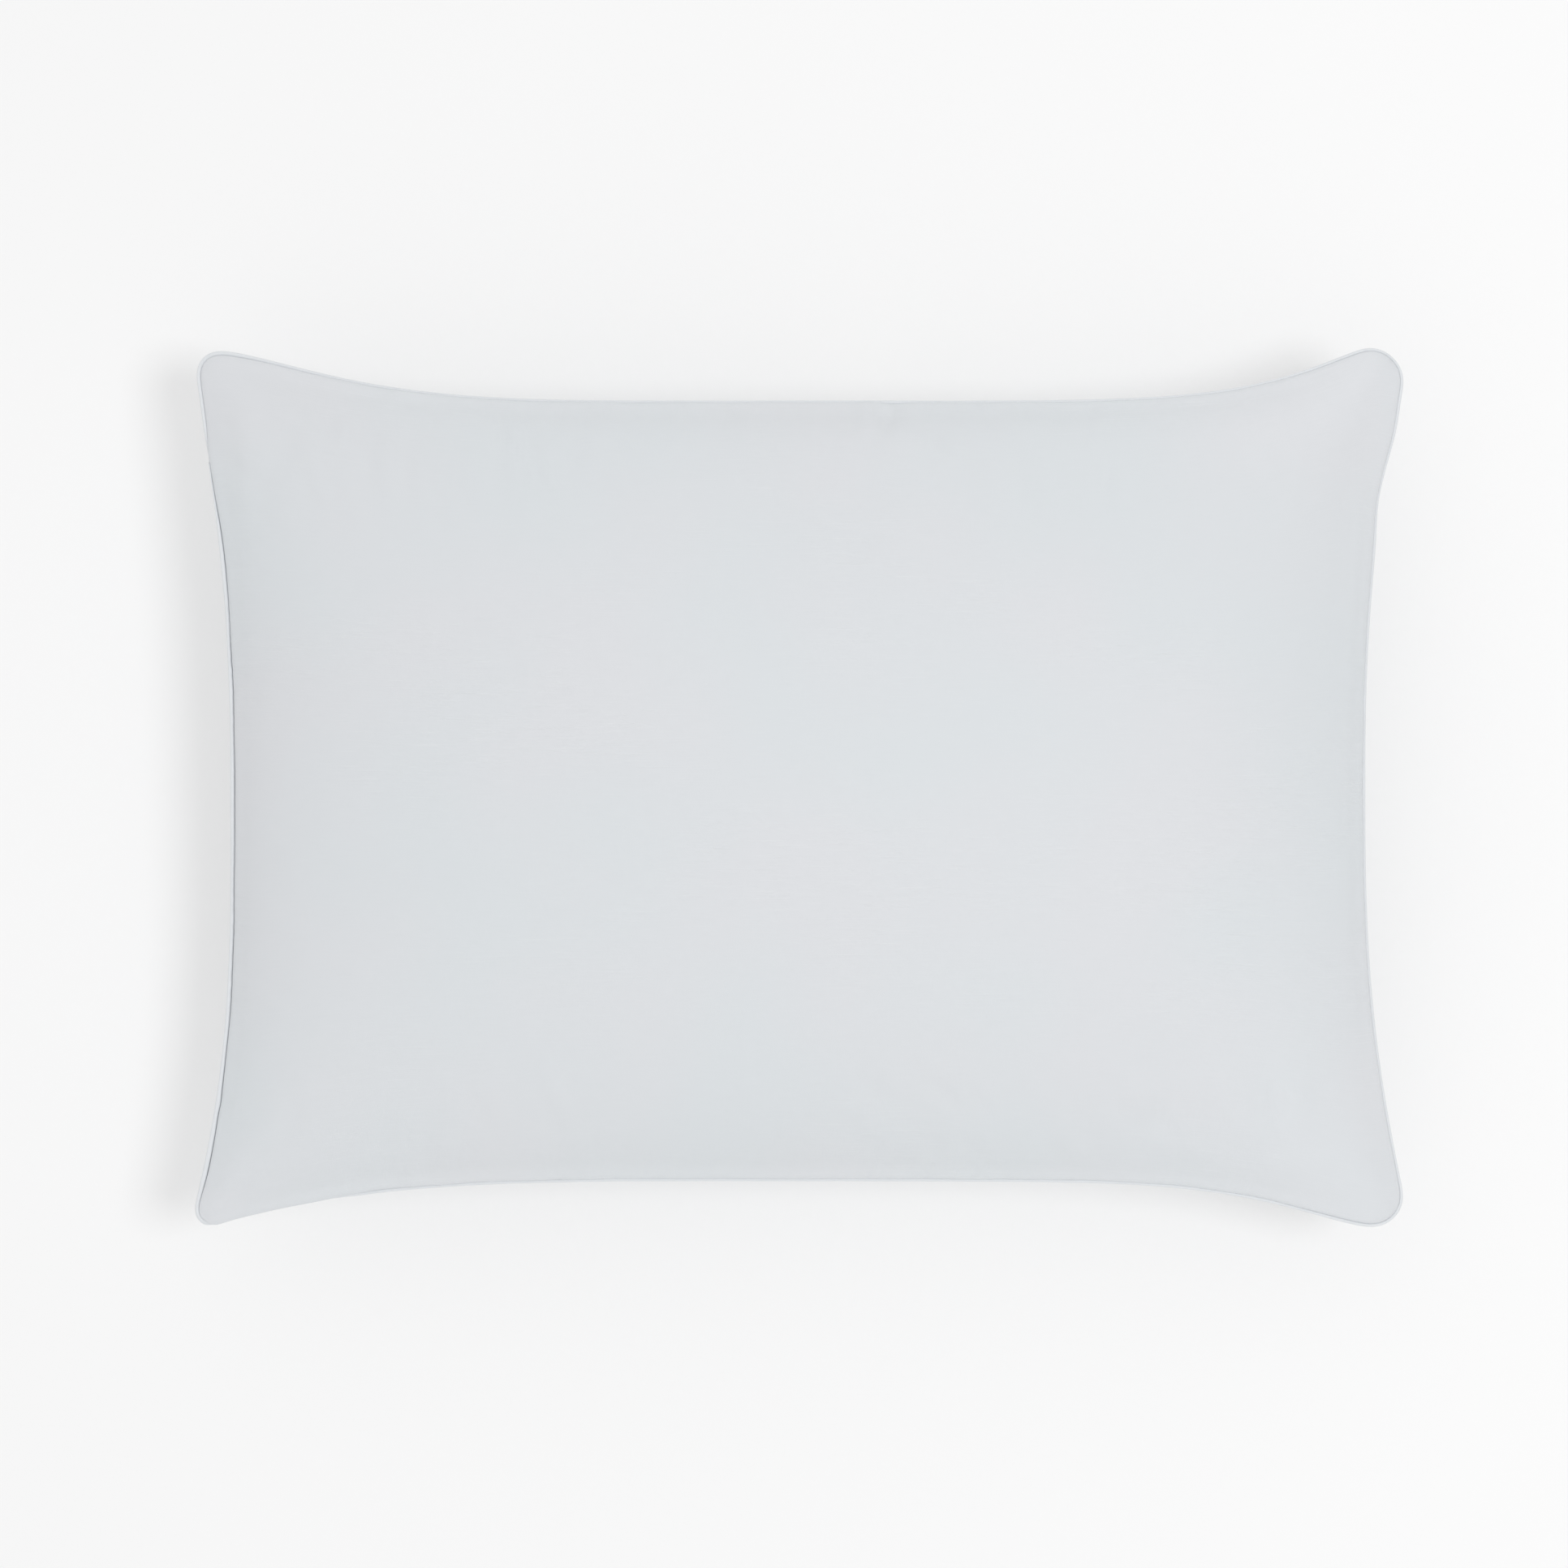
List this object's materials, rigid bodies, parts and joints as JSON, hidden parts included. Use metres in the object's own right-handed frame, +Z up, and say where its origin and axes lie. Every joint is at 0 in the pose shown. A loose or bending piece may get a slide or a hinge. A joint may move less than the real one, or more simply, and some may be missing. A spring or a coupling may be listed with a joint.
{
  "type": "bed pillow",
  "caption": "Plump rectangular bed pillow in smooth cotton ticking, with corded piping in the seam and drawn-out corners.",
  "frame": {"origin": "on the surface that the pillow lies on, under the middle of its outline", "axes": "+X along the long sides, +Y across them, +Z up through the crown"},
  "size_m": [0.6948, 0.5058, 0.17],
  "materials": {
    "ticking": "satin",
    "piping": "satin",
    "fill": "matte",
    "cord": "matte",
    "thread": "satin",
    "label": "satin"
  },
  "bodies": {
    "root": {"top_panel": "ticking", "bottom_panel": "ticking", "fill": "fill", "piping_cover": "piping", "piping_cord": "cord", "seam_thread": "thread", "overlock_thread": "thread", "closing_stitch": "thread", "care_label": "label"}
  },
  "joints": []
}
